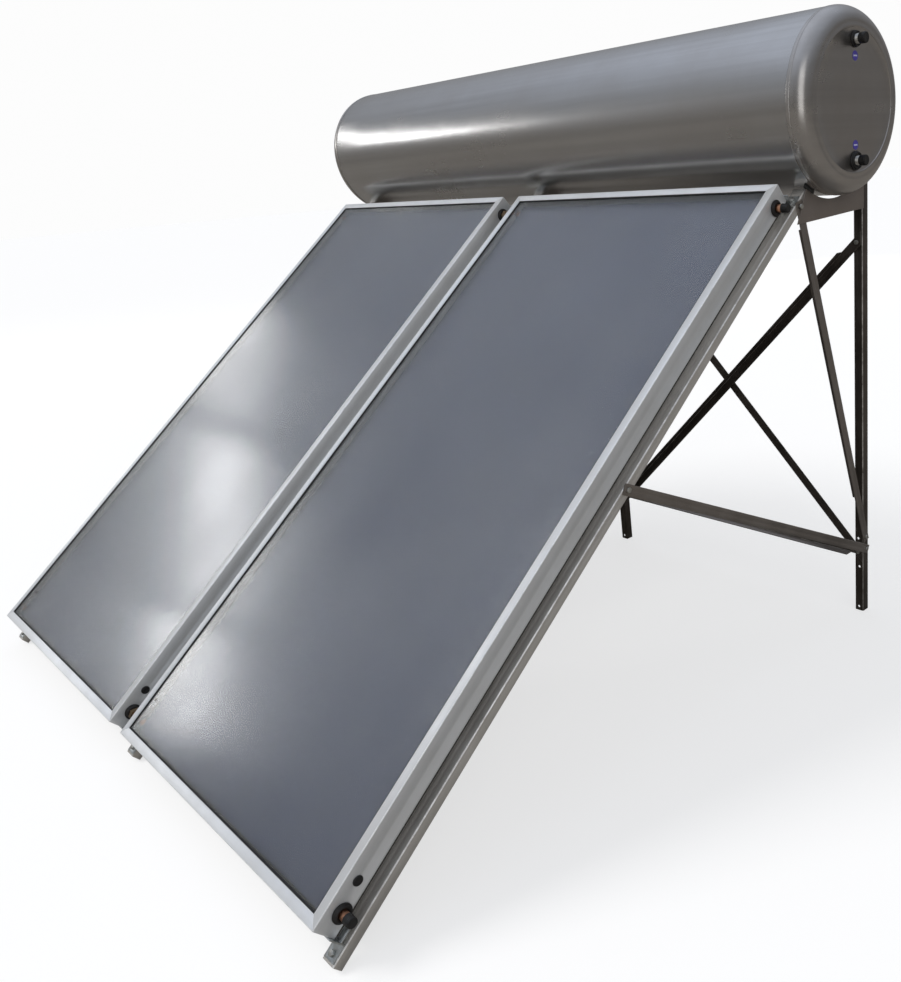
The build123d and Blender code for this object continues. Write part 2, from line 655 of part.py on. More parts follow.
# brackets that carry the casings' low and high ends
for end, s0, way in (("foot", 0.0, -1), ("top", panel_len, 1)):
    with BuildPart() as bracket:
        for side, xf in frames.items():
            mid_x = xf - rail_flange / 2 - row_x
            wide = bracket_mid if side == "mid" else rail_flange - 4
            bolt_s = s0 + way * foot_s
            with BuildSketch(across(0, mid_x)):
                with BuildLine():
                    Polyline((-wide / 2, -rail_drop), (wide / 2, -rail_drop), (wide / 2, -hook_h),
                             (-wide / 2, -hook_h), (-wide / 2, -rail_drop))
                make_face()
            lip_part = extrude(amount=-steel_t, mode=Mode.PRIVATE)
            shift = s0 + way * (ledge_drop + (0 if way > 0 else steel_t))
            add(lip_part.moved(Location((0, shift * ct, shift * st))))
            with BuildSketch(face.offset(-rail_drop)):
                with Locations((mid_x, s0 + way * (bracket_base / 2 + ledge_drop))):
                    Rectangle(rail_flange - 4, bracket_base)
                with Locations((mid_x, bolt_s)):
                    Circle(hole_r, mode=Mode.SUBTRACT)
            extrude(amount=steel_t)
            with BuildSketch(face.offset(-panel_thk - ledge_drop)):
                with Locations((mid_x, s0 + way * ((steel_t + ledge_drop - ledge_len) / 2))):
                    Rectangle(wide, ledge_len + steel_t + ledge_drop)
            extrude(amount=-steel_t)
    save(bracket, end + "_brackets")

# rubber blocks between the saddle arcs and the shell
with BuildPart() as pads:
    for xf in frames.values():
        for lean in (-27.0, 33.0):
            with BuildSketch(Plane.YZ.offset(xf + 0.5)):
                with BuildLine():
                    lo = radians(lean - 5 - 90)
                    hi = radians(lean + 5 - 90)
                    md = radians(lean - 90)
                    r1 = tank_r + 0.3
                    r2 = tank_r + saddle_air - 0.1
                    a1 = ThreePointArc((tank_y + r1 * cos(lo), tank_z + r1 * sin(lo)),
                                       (tank_y + r1 * cos(md), tank_z + r1 * sin(md)),
                                       (tank_y + r1 * cos(hi), tank_z + r1 * sin(hi)))
                    a2 = ThreePointArc((tank_y + r2 * cos(lo), tank_z + r2 * sin(lo)),
                                       (tank_y + r2 * cos(md), tank_z + r2 * sin(md)),
                                       (tank_y + r2 * cos(hi), tank_z + r2 * sin(hi)))
                    Line(a1 @ 0, a2 @ 0)
                    Line(a1 @ 1, a2 @ 1)
                make_face()
            extrude(amount=2 * steel_t + 2)
save(pads, "saddle_pads")

# ---------------------------------------------------------------- fasteners
# each entry: plane on the seat of the head, facing out, and the thickness that is clamped
stacks = []
spacer_seats = []
for side, xf in frames.items():
    stacks.append((end_at(xf + steel_t, *strut_a), 2 * steel_t))
    stacks.append((end_at(xf + 2 * steel_t, *brace_a), 3 * steel_t))
    stacks.append((end_at(xf + steel_t, *strut_b), 2 * steel_t))
    stacks.append((end_at(xf + steel_t, *brace_b), 2 * steel_t))
    for s in (-foot_s, top_s):
        stacks.append((Plane(origin=(xf - rail_flange / 2, slope_y(s, -rail_drop + steel_t),
                                     slope_z(s, -rail_drop + steel_t)),
                             x_dir=(1, 0, 0), z_dir=(0, -st, ct)), 2 * steel_t))
    has_fall_top = 0 if side == "right" else 1
    stacks.append((Plane(origin=(xf - leg_mid, leg_y - (1 + has_fall_top) * steel_t, leg_top - fall_top),
                         x_dir=(1, 0, 0), z_dir=(0, -1, 0)), (2 + has_fall_top) * steel_t))
    has_fall_low = 0 if side == "left" else 1
    stacks.append((Plane(origin=(xf - leg_mid, leg_y - (1 + has_fall_low) * steel_t, fall_low),
                         x_dir=(1, 0, 0), z_dir=(0, -1, 0)), (2 + has_fall_low) * steel_t))
    for z, used in ((rise_low, side != "right"), (leg_top - rise_top, side != "left")):
        if used:
            stacks.append((Plane(origin=(xf - leg_mid, leg_y - 3 * steel_t, z),
                                 x_dir=(1, 0, 0), z_dir=(0, -1, 0)), 4 * steel_t))
            spacer_seats.append(Plane(origin=(xf - leg_mid, leg_y, z), x_dir=(1, 0, 0), z_dir=(0, -1, 0)))

with BuildPart() as bolts:
    for seat, grip in stacks:
        with BuildSketch(seat):
            RegularPolygon(hex_af / 2, 6, major_radius=False)
        extrude(amount=head_t)
        with BuildSketch(seat):
            Circle(bolt_r)
        extrude(amount=-grip - nut_t - 3)
save(bolts, "bolts")

with BuildPart() as nuts:
    for seat, grip in stacks:
        with BuildSketch(seat.offset(-grip)):
            RegularPolygon(hex_af / 2, 6, major_radius=False)
            Circle(bolt_r + 0.15, mode=Mode.SUBTRACT)
        extrude(amount=-nut_t)
save(nuts, "nuts")

with BuildPart() as spacers:
    for seat in spacer_seats:
        with BuildSketch(seat):
            Circle(8)
            Circle(hole_r, mode=Mode.SUBTRACT)
        extrude(amount=2 * steel_t)
save(spacers, "brace_spacers")

print("tank axis", round(tank_y, 1), round(tank_z, 1), "leg", round(leg_y, 1), round(leg_top, 1))
print("frames", frames, "rail top s", round(rail_top, 1), "front y", round(front_y, 1))
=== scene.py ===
# %% [markdown]
# # Solar water heater
# Two flat collectors lie on a sloping stand of steel angle, and a steel-clad tank lies across its top.
# The CAD model gives every size and place. This lesson gives it finishes, rounds the edges that catch
# light, and remakes the pieces whose curves need more care: the tank, its ends, its ports and the caps.

# %% Load the frame
import json
from math import atan2, cos, pi, radians, sin, sqrt

import bmesh
import bpy
from mathutils import Matrix, Vector


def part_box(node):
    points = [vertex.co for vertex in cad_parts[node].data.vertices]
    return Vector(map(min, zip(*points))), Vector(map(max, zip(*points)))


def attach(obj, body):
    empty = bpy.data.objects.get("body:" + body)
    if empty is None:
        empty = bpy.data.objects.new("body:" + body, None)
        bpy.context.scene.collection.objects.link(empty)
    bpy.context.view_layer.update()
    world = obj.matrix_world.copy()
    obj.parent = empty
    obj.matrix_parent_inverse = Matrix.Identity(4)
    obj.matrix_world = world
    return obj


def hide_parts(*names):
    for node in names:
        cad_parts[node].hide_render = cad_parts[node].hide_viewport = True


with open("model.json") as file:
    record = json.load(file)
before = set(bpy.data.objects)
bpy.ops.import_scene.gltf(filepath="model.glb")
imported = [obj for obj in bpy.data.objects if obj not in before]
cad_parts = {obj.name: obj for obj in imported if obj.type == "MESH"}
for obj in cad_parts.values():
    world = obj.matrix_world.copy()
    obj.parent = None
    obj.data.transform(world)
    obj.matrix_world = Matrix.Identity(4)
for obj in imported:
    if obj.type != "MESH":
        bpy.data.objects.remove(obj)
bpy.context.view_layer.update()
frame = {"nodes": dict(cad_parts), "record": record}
nodes = frame["nodes"]

# %% [markdown]
# ## Where things are
# A piece takes its place from the CAD boxes, so it follows the CAD. The tank's axis is the middle of its
# shell. The collectors lean back by a fixed angle, and the patterns on their long sides turn by it too.

# %% Main places
shell_lo, shell_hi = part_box("tank_shell")
tank_r = (shell_hi.z - shell_lo.z) / 2
tank_half = shell_hi.x
tank_mid = Vector((0, (shell_lo.y + shell_hi.y) / 2, (shell_lo.z + shell_hi.z) / 2))
tilt = radians(39.5)


def middle(node):
    """The middle of a CAD node's box."""
    low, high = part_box(node)
    return (low + high) / 2


print("tank radius", round(tank_r, 4), "axis at", [round(v, 3) for v in tank_mid])

# %% [markdown]
# ## Camera
# The camera stands in front of the right-hand end at about eye height and looks slightly down, held a
# little askew. It is set from an azimuth, a dip and a roll, so each can be read and changed by itself.
# The shift places the object in the frame without turning the camera.

# %% Set the camera
azimuth, dip, roll = radians(45.10), radians(17.42), radians(-4.24)
ahead = Vector((-sin(azimuth) * cos(dip), cos(azimuth) * cos(dip), -sin(dip)))
level = ahead.cross(Vector((0, 0, 1))).normalized()
above = level.cross(ahead)
right = level * cos(roll) + above * sin(roll)
up = above * cos(roll) - level * sin(roll)
lens_data = bpy.data.cameras.new("camera")
lens_data.sensor_width = 36.0
lens_data.lens = 34.62
lens_data.shift_x = -0.2004
lens_data.shift_y = -0.0315
lens_data.clip_end = 200
camera = bpy.data.objects.new("camera", lens_data)
camera.matrix_world = Matrix((right, up, -ahead)).transposed().to_4x4()
camera.location = (2.7464, -1.6142, 1.5342)
bpy.context.scene.collection.objects.link(camera)
bpy.context.scene.camera = camera
bpy.context.scene.view_settings.view_transform = "Standard"
print("camera at", [round(v, 2) for v in camera.location], "lens", lens_data.lens)

# %% [markdown]
# ## Light and floor
# Polished metal shows whatever is around it, so a studio hangs grey and white cards about it. Here the
# world plays those cards: a soft gradient, dark and warm low down, cool and lighter above. Two very soft
# suns, the key and the fill, light the shapes and are hidden from reflections. Three softboxes put the
# pale glow on the glass, and two larger ones stand in for a card in front and one behind. The floor is
# pale to the eye but sends less light up, as if dark cloth lay round the object.

# %% Studio world
def link(tree, a, b):
    tree.links.new(a, b)


def ramp(tree, factor, stops):
    """A colour ramp fed by factor; stops are (place, colour)."""
    node = tree.nodes.new("ShaderNodeValToRGB")
    while len(node.color_ramp.elements) < len(stops):
        node.color_ramp.elements.new(0.5)
    for element, (place, colour) in zip(node.color_ramp.elements, stops):
        element.position = place
        element.color = (*colour, 1)
    link(tree, factor, node.inputs["Fac"])
    return node.outputs["Color"]


world = bpy.data.worlds.new("studio")
bpy.context.scene.world = world
world.use_nodes = True
sky = world.node_tree
sky.nodes.clear()
around = sky.nodes.new("ShaderNodeTexCoord")
split = sky.nodes.new("ShaderNodeSeparateXYZ")
link(sky, around.outputs["Generated"], split.inputs[0])
height = sky.nodes.new("ShaderNodeMapRange")
height.inputs["From Min"].default_value = -1
link(sky, split.outputs["Z"], height.inputs["Value"])
dome = ramp(sky, height.outputs["Result"], (
    (0.0, (0.05, 0.046, 0.042)), (0.47, (0.14, 0.13, 0.12)), (0.5, (0.21, 0.20, 0.19)),
    (0.575, (0.27, 0.265, 0.265)), (0.70, (0.31, 0.32, 0.34)), (0.82, (0.45, 0.48, 0.54)),
    (0.88, (0.60, 0.65, 0.75)), (1.0, (0.70, 0.76, 0.88))))
side = sky.nodes.new("ShaderNodeMapRange")
side.inputs["From Min"].default_value = -0.6
side.inputs["From Max"].default_value = 0.7
side.inputs["To Min"].default_value = 1.0
side.inputs["To Max"].default_value = 0.62
side.interpolation_type = "SMOOTHSTEP"
link(sky, split.outputs["X"], side.inputs["Value"])
shade = sky.nodes.new("ShaderNodeVectorMath")
shade.operation = "SCALE"
link(sky, dome, shade.inputs[0])
link(sky, side.outputs["Result"], shade.inputs["Scale"])
cards = sky.nodes.new("ShaderNodeBackground")
link(sky, shade.outputs[0], cards.inputs["Color"])
cards.inputs["Strength"].default_value = 1.0
paper = sky.nodes.new("ShaderNodeBackground")
paper.inputs["Color"].default_value = (0.98, 0.98, 0.98, 1)
ray = sky.nodes.new("ShaderNodeLightPath")
pick = sky.nodes.new("ShaderNodeMixShader")
link(sky, ray.outputs["Is Camera Ray"], pick.inputs["Fac"])
link(sky, cards.outputs[0], pick.inputs[1])
link(sky, paper.outputs[0], pick.inputs[2])
out = sky.nodes.new("ShaderNodeOutputWorld")
link(sky, pick.outputs[0], out.inputs["Surface"])
print("world: a gradient from ground to zenith")

# %% Lamps
def softbox(name, place, aim, wide, tall, power, roll=0.0):
    """A rectangular soft lamp at place, facing aim, rolled by some degrees about its own axis."""
    data = bpy.data.lights.new(name, "AREA")
    data.shape = "RECTANGLE"
    data.size, data.size_y = wide, tall
    data.energy = power
    lamp = bpy.data.objects.new(name, data)
    lamp.location = place
    lamp.rotation_euler = (Vector(aim) - Vector(place)).to_track_quat("-Z", "Y").to_euler()
    lamp.rotation_euler.rotate_axis("Z", radians(roll))
    lamp.visible_camera = False
    bpy.context.scene.collection.objects.link(lamp)


def sun(name, way, strength, spread_angle, colour=(1, 1, 1)):
    """A very far lamp in direction way, too large to show as a spot, so mirrors leave it out."""
    data = bpy.data.lights.new(name, "SUN")
    data.energy = strength
    data.angle = radians(spread_angle)
    data.color = colour
    lamp = bpy.data.objects.new(name, data)
    lamp.rotation_euler = Vector(way).to_track_quat("Z", "Y").to_euler()
    lamp.visible_glossy = False
    bpy.context.scene.collection.objects.link(lamp)


def away(bearing, rise, far):
    """A point at a bearing from -Y towards -X, at an angle above the horizon."""
    b, e = radians(bearing), radians(rise)
    return Vector((-sin(b) * cos(e), -cos(b) * cos(e), sin(e))) * far + Vector((0, 0, 0.6))


sun("key", (-0.5, -0.45, 0.74), 2.2, 25, (1.0, 0.98, 0.95))
sun("fill", (0.85, -0.3, 0.35), 1.0, 60)
glow_far, glow_aim, glow_roll = 13, (0, 0, 0.8), -14
softbox("glow_high", away(85.5, 22, glow_far), glow_aim, 1.9, 1.0, 20, glow_roll)
softbox("glow_low", away(73.2, 20.4, glow_far), glow_aim, 2.6, 0.9, 42, glow_roll)
softbox("glow_foot", away(63.0, 16.8, glow_far), glow_aim, 1.7, 0.8, 38, glow_roll)
softbox("front_card", away(-57, 15, 9), (1.2, 0.8, 1.6), 4.2, 10.0, 105)
softbox("back_card", (-7.5, 8.5, 1.6), (0, 0.8, 1.7), 6.0, 2.4, 90)

# %% Floor
floor_bm = bmesh.new()
bmesh.ops.create_grid(floor_bm, x_segments=1, y_segments=1, size=60)
floor_mesh = bpy.data.meshes.new("floor")
floor_bm.to_mesh(floor_mesh)
floor_bm.free()
floor = bpy.data.objects.new("floor", floor_mesh)
bpy.context.scene.collection.objects.link(floor)
floor_paint = bpy.data.materials.new("floor_paint")
floor_paint.use_nodes = True
tree = floor_paint.node_tree
pale = tree.nodes["Principled BSDF"]
pale.inputs["Base Color"].default_value = (0.30, 0.30, 0.30, 1)
pale.inputs["Roughness"].default_value = 1.0
pale.inputs["Specular IOR Level"].default_value = 0.0
pale.inputs["Emission Color"].default_value = (1, 1, 1, 1)
pale.inputs["Emission Strength"].default_value = 0.66
cloth = tree.nodes.new("ShaderNodeBsdfDiffuse")
cloth.inputs["Color"].default_value = (0.20, 0.185, 0.165, 1)
seen = tree.nodes.new("ShaderNodeLightPath")
blend = tree.nodes.new("ShaderNodeMixShader")
link(tree, seen.outputs["Is Camera Ray"], blend.inputs["Fac"])
link(tree, cloth.outputs[0], blend.inputs[1])
link(tree, pale.outputs[0], blend.inputs[2])
link(tree, blend.outputs[0], tree.nodes["Material Output"].inputs["Surface"])
floor.data.materials.append(floor_paint)
print("floor:", len(floor.data.polygons), "face")

# %% [markdown]
# ## Shared surface effects
# Several finishes need the same few effects: long drawing lines in rolled metal, a film of dust, zinc
# spangle, moulding grain, and wear with a painted highlight on edges. Each is a node group with named
# inputs and outputs, so one recipe serves many materials with different values. A group puts out values
# only; the shader that uses them stays in the material.

# %% A helper to start a group
def new_group(name, inputs, outputs):
    """A node group with float or vector inputs (name, kind, value) and float outputs."""
    group = bpy.data.node_groups.new(name, "ShaderNodeTree")
    for title, kind, value in inputs:
        socket = group.interface.new_socket(title, in_out="INPUT", socket_type="NodeSocket" + kind)
        if value is not None:
            socket.default_value = value
    for title in outputs:
        group.interface.new_socket(title, in_out="OUTPUT", socket_type="NodeSocketFloat")
    return group, group.nodes.new("NodeGroupInput"), group.nodes.new("NodeGroupOutput")


def noise_in(tree, vector, scale, detail=3.0, rough=0.55):
    node = tree.nodes.new("ShaderNodeTexNoise")
    node.inputs["Scale"].default_value = scale
    node.inputs["Detail"].default_value = detail
    node.inputs["Roughness"].default_value = rough
    if vector is not None:
        link(tree, vector, node.inputs["Vector"])
    return node


def sums(tree, kind, a, b):
    """A Math node; a and b are sockets or plain numbers."""
    node = tree.nodes.new("ShaderNodeMath")
    node.operation = kind
    for socket, value in zip(node.inputs, (a, b)):
        if isinstance(value, (int, float)):
            socket.default_value = value
        else:
            link(tree, value, socket)
    return node.outputs[0]


def spread(tree, value, low, high, to_low=0.0, to_high=1.0):
    """A Map Range from low..high to to_low..to_high, clamped."""
    node = tree.nodes.new("ShaderNodeMapRange")
    link(tree, value, node.inputs["Value"])
    for title, number in zip(("From Min", "From Max", "To Min", "To Max"), (low, high, to_low, to_high)):
        node.inputs[title].default_value = number
    return node.outputs["Result"]


# %% Drawing lines: noise squeezed across the rolling direction
drawn_lines, gin, gout = new_group(
    "drawn_lines", (("Vector", "Vector", None), ("Fineness", "Float", 300.0), ("Stretch", "Float", 60.0)),
    ("Fine", "Broad"))
squeeze = drawn_lines.nodes.new("ShaderNodeVectorMath")
squeeze.operation = "DIVIDE"
along = drawn_lines.nodes.new("ShaderNodeCombineXYZ")
link(drawn_lines, gin.outputs["Stretch"], along.inputs["X"])
along.inputs["Y"].default_value = 1
along.inputs["Z"].default_value = 1
link(drawn_lines, gin.outputs["Vector"], squeeze.inputs[0])
link(drawn_lines, along.outputs[0], squeeze.inputs[1])
fine = noise_in(drawn_lines, squeeze.outputs[0], 1.0, 2.0)
link(drawn_lines, gin.outputs["Fineness"], fine.inputs["Scale"])
broad = noise_in(drawn_lines, squeeze.outputs[0], 1.0, 3.0)
link(drawn_lines, sums(drawn_lines, "MULTIPLY", gin.outputs["Fineness"], 0.07), broad.inputs["Scale"])
link(drawn_lines, spread(drawn_lines, fine.outputs["Fac"], 0.3, 0.7), gout.inputs["Fine"])
link(drawn_lines, spread(drawn_lines, broad.outputs["Fac"], 0.3, 0.7), gout.inputs["Broad"])

# %% Dust film: large clouds broken by small specks
dust_film, gin, gout = new_group(
    "dust_film", (("Vector", "Vector", None), ("Cloud Scale", "Float", 4.0), ("Speck Scale", "Float", 260.0)),
    ("Film", "Specks"))
clouds = noise_in(dust_film, gin.outputs["Vector"], 1.0, 5.0, 0.6)
link(dust_film, gin.outputs["Cloud Scale"], clouds.inputs["Scale"])
specks = noise_in(dust_film, gin.outputs["Vector"], 1.0, 1.0)
link(dust_film, gin.outputs["Speck Scale"], specks.inputs["Scale"])
link(dust_film, spread(dust_film, clouds.outputs["Fac"], 0.35, 0.7), gout.inputs["Film"])
link(dust_film, spread(dust_film, specks.outputs["Fac"], 0.68, 0.76), gout.inputs["Specks"])

# %% Zinc spangle: crystal cells, each with its own brightness
zinc_spangle, gin, gout = new_group(
    "zinc_spangle", (("Vector", "Vector", None), ("Scale", "Float", 90.0)), ("Crystals", "Relief"))
cells = zinc_spangle.nodes.new("ShaderNodeTexVoronoi")
link(zinc_spangle, gin.outputs["Vector"], cells.inputs["Vector"])
link(zinc_spangle, gin.outputs["Scale"], cells.inputs["Scale"])
grey = zinc_spangle.nodes.new("ShaderNodeRGBToBW")
link(zinc_spangle, cells.outputs["Color"], grey.inputs[0])
link(zinc_spangle, grey.outputs[0], gout.inputs["Crystals"])
link(zinc_spangle, cells.outputs["Distance"], gout.inputs["Relief"])

# %% Moulding grain: the fine orange-peel of rubber and plastic
moulded_grain, gin, gout = new_group(
    "moulded_grain", (("Vector", "Vector", None), ("Scale", "Float", 900.0)), ("Grain",))
peel = noise_in(moulded_grain, gin.outputs["Vector"], 1.0, 4.0, 0.6)
link(moulded_grain, gin.outputs["Scale"], peel.inputs["Scale"])
link(moulded_grain, peel.outputs["Fac"], gout.inputs["Grain"])

# %% Edge wear with a painted highlight: an attribute painted on the eased edges, broken up by noise
edge_wear_and_highlight, gin, gout = new_group(
    "edge_wear_and_highlight", (("Vector", "Vector", None), ("Amount", "Float", 0.8), ("Scale", "Float", 60.0)), ("Wear_and_Highlight",))
painted = edge_wear_and_highlight.nodes.new("ShaderNodeAttribute")
painted.attribute_name = "eased"
broken = noise_in(edge_wear_and_highlight, gin.outputs["Vector"], 1.0, 4.0, 0.7)
link(edge_wear_and_highlight, gin.outputs["Scale"], broken.inputs["Scale"])
patchy = spread(edge_wear_and_highlight, broken.outputs["Fac"], 0.30, 0.62)
wear_and_highlight = sums(edge_wear_and_highlight, "MULTIPLY", painted.outputs["Fac"], patchy)
link(edge_wear_and_highlight, sums(edge_wear_and_highlight, "MULTIPLY", wear_and_highlight, gin.outputs["Amount"]), gout.inputs["Wear_and_Highlight"])
print("groups:", [g.name for g in bpy.data.node_groups])

# %% [markdown]
# ## Finishes
# Each finish is one Principled BSDF. What is even over the surface is set on the shader's own sockets.
# What changes over it, such as colour, roughness and relief, comes from the groups above, on Object
# coordinates, so a pattern keeps its real size in metres.

# %% A helper to start a finish
def finish(name, metallic=0.0, rough=0.5, **sockets):
    """A material with its shader, its tree and its Object coordinates."""
    made = bpy.data.materials.new(name)
    made.use_nodes = True
    shader = made.node_tree.nodes["Principled BSDF"]
    shader.inputs["Metallic"].default_value = metallic
    shader.inputs["Roughness"].default_value = rough
    for title, value in sockets.items():
        shader.inputs[title.replace("_", " ")].default_value = value
    coords = made.node_tree.nodes.new("ShaderNodeTexCoord").outputs["Object"]
    return made, made.node_tree, shader, coords


def turned_to(tree, vector, turn=(0, 0, 0), scale=(1, 1, 1)):
    """Coordinates turned, so that a pattern's first axis follows a piece's length."""
    node = tree.nodes.new("ShaderNodeMapping")
    node.inputs["Rotation"].default_value = turn
    node.inputs["Scale"].default_value = scale
    link(tree, vector, node.inputs["Vector"])
    return node.outputs[0]


def use(tree, group, vector, **values):
    """Puts a group into a material with its own values."""
    node = tree.nodes.new("ShaderNodeGroup")
    node.node_tree = group
    link(tree, vector, node.inputs["Vector"])
    for title, value in values.items():
        node.inputs[title.replace("_", " ")].default_value = value
    return node


def mixed(tree, factor, a, b):
    """A colour mix; a and b are colours or sockets."""
    node = tree.nodes.new("ShaderNodeMix")
    node.data_type = "RGBA"
    link(tree, factor, node.inputs["Factor"])
    for socket, value in ((node.inputs["A"], a), (node.inputs["B"], b)):
        if isinstance(value, tuple):
            socket.default_value = (*value, 1)
        else:
            link(tree, value, socket)
    return node.outputs["Result"]


def relief(tree, shader, value, strength, depth):
    """Bump from a value; depth is in metres."""
    node = tree.nodes.new("ShaderNodeBump")
    node.inputs["Strength"].default_value = strength
    node.inputs["Distance"].default_value = depth
    link(tree, value, node.inputs["Height"])
    link(tree, node.outputs[0], shader.inputs["Normal"])


# %% Rolled stainless for the tank's jacket
def rolled_stainless(name, colour, dull, rough_low, rough_high, wave, turn=(0, 0, 0)):
    made, tree, shader, where = finish(name, metallic=1.0)
    lines = use(tree, drawn_lines, turned_to(tree, where, turn), Fineness=520.0, Stretch=80.0)
    film = use(tree, dust_film, where, Cloud_Scale=3.2, Speck_Scale=420.0)
    tone = mixed(tree, lines.outputs["Broad"], colour, tuple(c * 0.86 for c in colour))
    link(tree, mixed(tree, sums(tree, "MULTIPLY", film.outputs["Film"], 0.55), tone, dull),
         shader.inputs["Base Color"])
    worn = sums(tree, "ADD", sums(tree, "MULTIPLY", lines.outputs["Broad"], 0.4), film.outputs["Film"])
    link(tree, spread(tree, worn, 0.0, 1.4, rough_low, rough_high), shader.inputs["Roughness"])
    dents = noise_in(tree, turned_to(tree, where, turn, (0.5, 1, 1)), 5.0, 2.0)
    relief(tree, shader, dents.outputs["Fac"], 1.0, wave)
    return made


tank_steel = rolled_stainless("tank_steel", (0.60, 0.60, 0.60), (0.47, 0.45, 0.43), 0.20, 0.30, 0.0009)
cap_steel = rolled_stainless("tank_end_steel", (0.60, 0.585, 0.57), (0.47, 0.43, 0.40), 0.25, 0.34,
                             0.0004, (0, 0, radians(90)))

# %% Drawn aluminium for the casings
def drawn_aluminium(name, turn):
    made, tree, shader, where = finish(name, metallic=0.6)
    lines = use(tree, drawn_lines, turned_to(tree, where, turn), Fineness=700.0, Stretch=90.0)
    film = use(tree, dust_film, where, Cloud_Scale=9.0, Speck_Scale=500.0)
    wear_and_highlight = use(tree, edge_wear_and_highlight, where, Amount=1.0, Scale=35.0)
    tone = mixed(tree, lines.outputs["Broad"], (0.76, 0.78, 0.80), (0.70, 0.72, 0.74))
    tone = mixed(tree, sums(tree, "MULTIPLY", film.outputs["Film"], 0.45), tone, (0.60, 0.60, 0.59))
    # Rounded edges go to white: a painted highlight along each edge, with some wear.
    link(tree, mixed(tree, wear_and_highlight.outputs["Wear_and_Highlight"], tone, (1.0, 1.0, 1.0)), shader.inputs["Base Color"])
    link(tree, spread(tree, sums(tree, "ADD", lines.outputs["Fine"], film.outputs["Film"]), 0.0, 2.0,
                      0.34, 0.52), shader.inputs["Roughness"])
    relief(tree, shader, lines.outputs["Fine"], 0.35, 0.0002)
    return made


up_slope = (-tilt, 0, radians(90))
casing_rows = drawn_aluminium("casing_aluminium_rows", (0, 0, 0))
casing_sides = drawn_aluminium("casing_aluminium_sides", up_slope)

# %% Glass, with the faint haze of a patterned solar pane
glass, tree, shader, where = finish("collector_glass", rough=0.16, IOR=1.52)
shader.inputs["Transmission Weight"].default_value = 1.0
shader.inputs["Base Color"].default_value = (0.90, 0.94, 0.95, 1)
film = use(tree, dust_film, where, Cloud_Scale=2.2, Speck_Scale=130.0)
haze = sums(tree, "ADD", film.outputs["Film"], film.outputs["Specks"])
link(tree, spread(tree, haze, 0.0, 2.0, 0.14, 0.22), shader.inputs["Roughness"])
link(tree, mixed(tree, film.outputs["Specks"], (0.90, 0.94, 0.95), (0.80, 0.80, 0.78)),
     shader.inputs["Base Color"])

# %% Absorber coating, slate blue with fine lines up the sheet
absorber, tree, shader, where = finish("absorber_coating", Specular_IOR_Level=0.25)
film = use(tree, dust_film, where, Cloud_Scale=1.6, Speck_Scale=60.0)
lines = use(tree, drawn_lines, turned_to(tree, where, up_slope), Fineness=60.0, Stretch=70.0)
link(tree, mixed(tree, film.outputs["Film"], (0.040, 0.045, 0.088), (0.056, 0.062, 0.110)),
     shader.inputs["Base Color"])
link(tree, spread(tree, lines.outputs["Broad"], 0, 1, 0.50, 0.65), shader.inputs["Roughness"])
relief(tree, shader, lines.outputs["Fine"], 0.4, 0.0004)

# %% Angle steel: dark coat, dusty, bright along its edges with rubbed wear and a painted highlight
def coated_steel(name, coat, dusty, bright, rough, metal, wear_and_highlight_amount):
    made, tree, shader, where = finish(name, metallic=metal)
    film = use(tree, dust_film, where, Cloud_Scale=7.0, Speck_Scale=340.0)
    wear_and_highlight = use(tree, edge_wear_and_highlight, where, Amount=wear_and_highlight_amount, Scale=28.0)
    tone = mixed(tree, film.outputs["Film"], coat, dusty)
    speck = tuple(c * 1.5 for c in dusty)
    tone = mixed(tree, sums(tree, "MULTIPLY", film.outputs["Specks"], 0.5), tone, speck)
    # Rounded edges go to the bright colour: rubbed wear with a painted highlight.
    link(tree, mixed(tree, wear_and_highlight.outputs["Wear_and_Highlight"], tone, bright), shader.inputs["Base Color"])
    link(tree, spread(tree, film.outputs["Film"], 0, 1, rough - 0.08, rough + 0.1), shader.inputs["Roughness"])
    skin = use(tree, moulded_grain, where, Scale=260.0)
    relief(tree, shader, skin.outputs["Grain"], 0.5, 0.0003)
    return made


rubbed_highlight = (0.66, 0.64, 0.60)
# The legs and cross braces take a darker coat than the side members, though both are the same steel: painted
# shade.
stand_steel = coated_steel("stand_steel", (0.085, 0.072, 0.062), (0.15, 0.13, 0.115), rubbed_highlight,
                           rough=0.40, metal=0.8, wear_and_highlight_amount=0.8)
# The side members take a lighter coat of the same steel: painted light where their faces are lit.
side_steel_lit = coated_steel("side_member_steel_lit", (0.23, 0.205, 0.185), (0.31, 0.28, 0.255), (0.72, 0.70, 0.66),
                          rough=0.42, metal=0.8, wear_and_highlight_amount=0.8)
saddle_steel = coated_steel("saddle_steel", (0.27, 0.24, 0.22), (0.34, 0.30, 0.275), rubbed_highlight,
                            rough=0.45, metal=0.8, wear_and_highlight_amount=0.7)
# The rails' bends go near white: a painted highlight, with some wear.
rail_steel = coated_steel("rail_steel", (0.56, 0.54, 0.51), (0.62, 0.60, 0.57), (1.0, 1.0, 0.98),
                          rough=0.36, metal=0.62, wear_and_highlight_amount=1.0)

# %% Galvanised sheet for the brackets and fasteners
def galvanised(name, light, dark, scale):
    made, tree, shader, where = finish(name, metallic=0.95)
    zinc = use(tree, zinc_spangle, where, Scale=scale)
    wear_and_highlight = use(tree, edge_wear_and_highlight, where, Amount=0.6, Scale=50.0)
    tone = mixed(tree, zinc.outputs["Crystals"], dark, light)
    # Rounded edges go pale: wear with a painted highlight.
    link(tree, mixed(tree, wear_and_highlight.outputs["Wear_and_Highlight"], tone, (0.90, 0.91, 0.91)), shader.inputs["Base Color"])
    link(tree, spread(tree, zinc.outputs["Crystals"], 0, 1, 0.30, 0.50), shader.inputs["Roughness"])
    relief(tree, shader, zinc.outputs["Relief"], 0.3, 0.0002)
    return made


